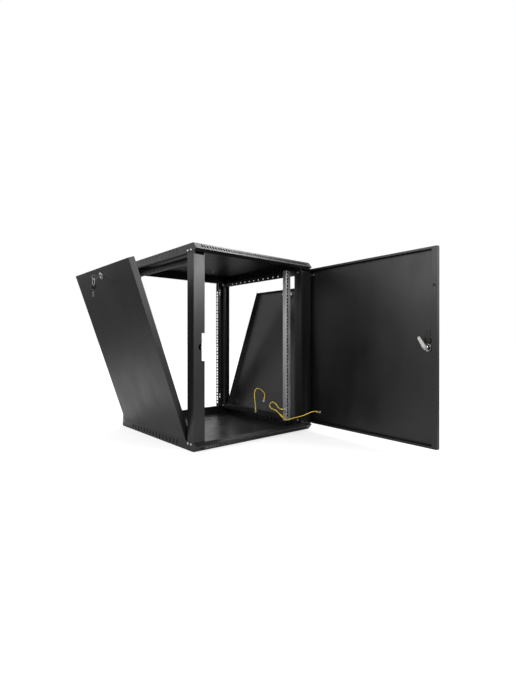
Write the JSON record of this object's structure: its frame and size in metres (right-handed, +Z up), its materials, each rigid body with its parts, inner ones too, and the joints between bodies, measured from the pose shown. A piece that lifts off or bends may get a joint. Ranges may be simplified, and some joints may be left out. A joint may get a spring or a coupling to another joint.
{
  "type": "wall mount network cabinet",
  "caption": "Wall mount 19-inch network cabinet of sheet steel: beaked base and top, hinged lockable front door, side panels leaning out on their feet, earth leads.",
  "frame": {"origin": "centre of the underside of the base", "axes": "+Z up, -Y towards the front, +X towards the hinge side of the door"},
  "size_m": [1.0622, 1.1991, 0.735],
  "materials": {
    "bush_plastic": "matt",
    "cam_steel": "zinc plated",
    "key_head": "moulded, matt",
    "key_steel": "nickel plated",
    "lead_insulation": "yellow with green stripe",
    "lock_chrome": "bright plated",
    "paint_cover": "fine textured matt powder coat",
    "paint_door": "fine textured matt powder coat",
    "paint_frame": "fine textured matt powder coat",
    "paint_panel": "fine textured matt powder coat",
    "rubber_pad": "matt",
    "splice_plastic": "translucent sleeve",
    "spring_steel": "bright",
    "terminal_tin": "tin plated",
    "zinc_screw": "zinc plated"
  },
  "bodies": {
    "cabinet": {"bar_screws": "zinc_screw", "base_pan": "paint_cover", "cable_plate_base": "paint_cover", "cable_plate_top": "paint_cover", "cover_screws": "zinc_screw", "depth_bar_lower_left": "paint_frame", "depth_bar_lower_right": "paint_frame", "depth_bar_upper_left": "paint_frame", "depth_bar_upper_right": "paint_frame", "earth_lead_door": "lead_insulation", "earth_lead_panel": "lead_insulation", "earth_lead_rail": "lead_insulation", "earth_splice": "splice_plastic", "earth_studs_frame": "zinc_screw", "earth_terminals_frame": "terminal_tin", "front_post_left": "paint_frame", "front_post_right": "paint_frame", "hinge_bush_lower": "bush_plastic", "hinge_bush_upper": "bush_plastic", "plate_screws": "zinc_screw", "rack_rail_front_left": "paint_frame", "rack_rail_front_right": "paint_frame", "rack_rail_rear_left": "paint_frame", "rack_rail_rear_right": "paint_frame", "rail_bolts": "zinc_screw", "rear_beam_lower": "paint_frame", "rear_beam_upper": "paint_frame", "rear_post_left": "paint_frame", "rear_post_right": "paint_frame", "top_cover": "paint_cover"},
    "door": {"door_panel": "paint_door", "door_hinge_pin_lower": "zinc_screw", "door_pin_bracket": "paint_door", "door_pin_spring": "spring_steel", "door_bumpers": "rubber_pad", "door_buffer": "rubber_pad", "door_guide": "paint_door", "door_lock_barrel": "lock_chrome", "door_lock_nut": "lock_chrome", "earth_stud_door": "zinc_screw", "earth_terminal_door": "terminal_tin"},
    "door_lock": {"door_lock_plug": "lock_chrome", "door_lock_cam": "cam_steel"},
    "door_pin": {"door_hinge_pin_upper": "zinc_screw"},
    "left_panel": {"left_side_panel": "paint_panel", "left_lock_barrel": "lock_chrome", "left_lock_nut": "lock_chrome"},
    "left_lock": {"left_lock_plug": "lock_chrome", "left_lock_cam": "cam_steel", "panel_key": "key_steel"},
    "keyring": {"key_ring": "key_steel"},
    "spare": {"spare_key": "key_head"},
    "right_panel": {"right_side_panel": "paint_panel", "right_lock_barrel": "lock_chrome", "right_lock_nut": "lock_chrome", "earth_stud_panel": "zinc_screw", "earth_terminal_panel": "terminal_tin"},
    "right_lock": {"right_lock_plug": "lock_chrome", "right_lock_cam": "cam_steel"}
  },
  "joints": [
    {"name": "door_hinge", "type": "hinge", "parent": "cabinet", "child": "door", "pos_m": [0.2915, -0.311, 0.3675], "axis": [0, 0, 1], "range_deg": [-87, 93], "deforming": ["earth_lead_door"]},
    {"name": "door_lock_turn", "type": "hinge", "parent": "door", "child": "door_lock", "pos_m": [0.26978, -0.85911, 0.3675], "axis": [0.9986, -0.0523, 0], "range_deg": [0, 90]},
    {"name": "door_pin_slide", "type": "slide", "parent": "door", "child": "door_pin", "axis": [0, 0, -1], "range_m": [0, 0.012], "stiffness_N_per_m": 400, "springref_m": -0.01, "deforming": ["door_pin_spring"]},
    {"name": "left_panel_tilt", "type": "hinge", "parent": "cabinet", "child": "left_panel", "pos_m": [-0.3, 0, 0.0313], "axis": [0, 1, 0], "range_deg": [0, 19]},
    {"name": "left_lock_turn", "type": "hinge", "parent": "left_panel", "child": "left_lock", "pos_m": [-0.50706, 0.0125, 0.63265], "axis": [0.9455, 0, 0.3256], "range_deg": [0, 90]},
    {"name": "key_ring_swing", "type": "hinge", "parent": "left_lock", "child": "keyring", "pos_m": [-0.53495, 0.0125, 0.62035], "axis": [0, 1, 0], "range_deg": [-15, 25]},
    {"name": "spare_key_swing", "type": "hinge", "parent": "keyring", "child": "spare", "pos_m": [-0.53495, 0.0125, 0.59635], "axis": [0, 1, 0], "range_deg": [-20, 30]},
    {"name": "right_panel_tilt", "type": "hinge", "parent": "cabinet", "child": "right_panel", "pos_m": [0.3, 0, 0.0313], "axis": [0, -1, 0], "range_deg": [0, 19], "deforming": ["earth_lead_panel"]},
    {"name": "right_lock_turn", "type": "hinge", "parent": "right_panel", "child": "right_lock", "pos_m": [0.50706, 0.0125, 0.63265], "axis": [0.9455, 0, -0.3256], "range_deg": [0, 90]}
  ]
}
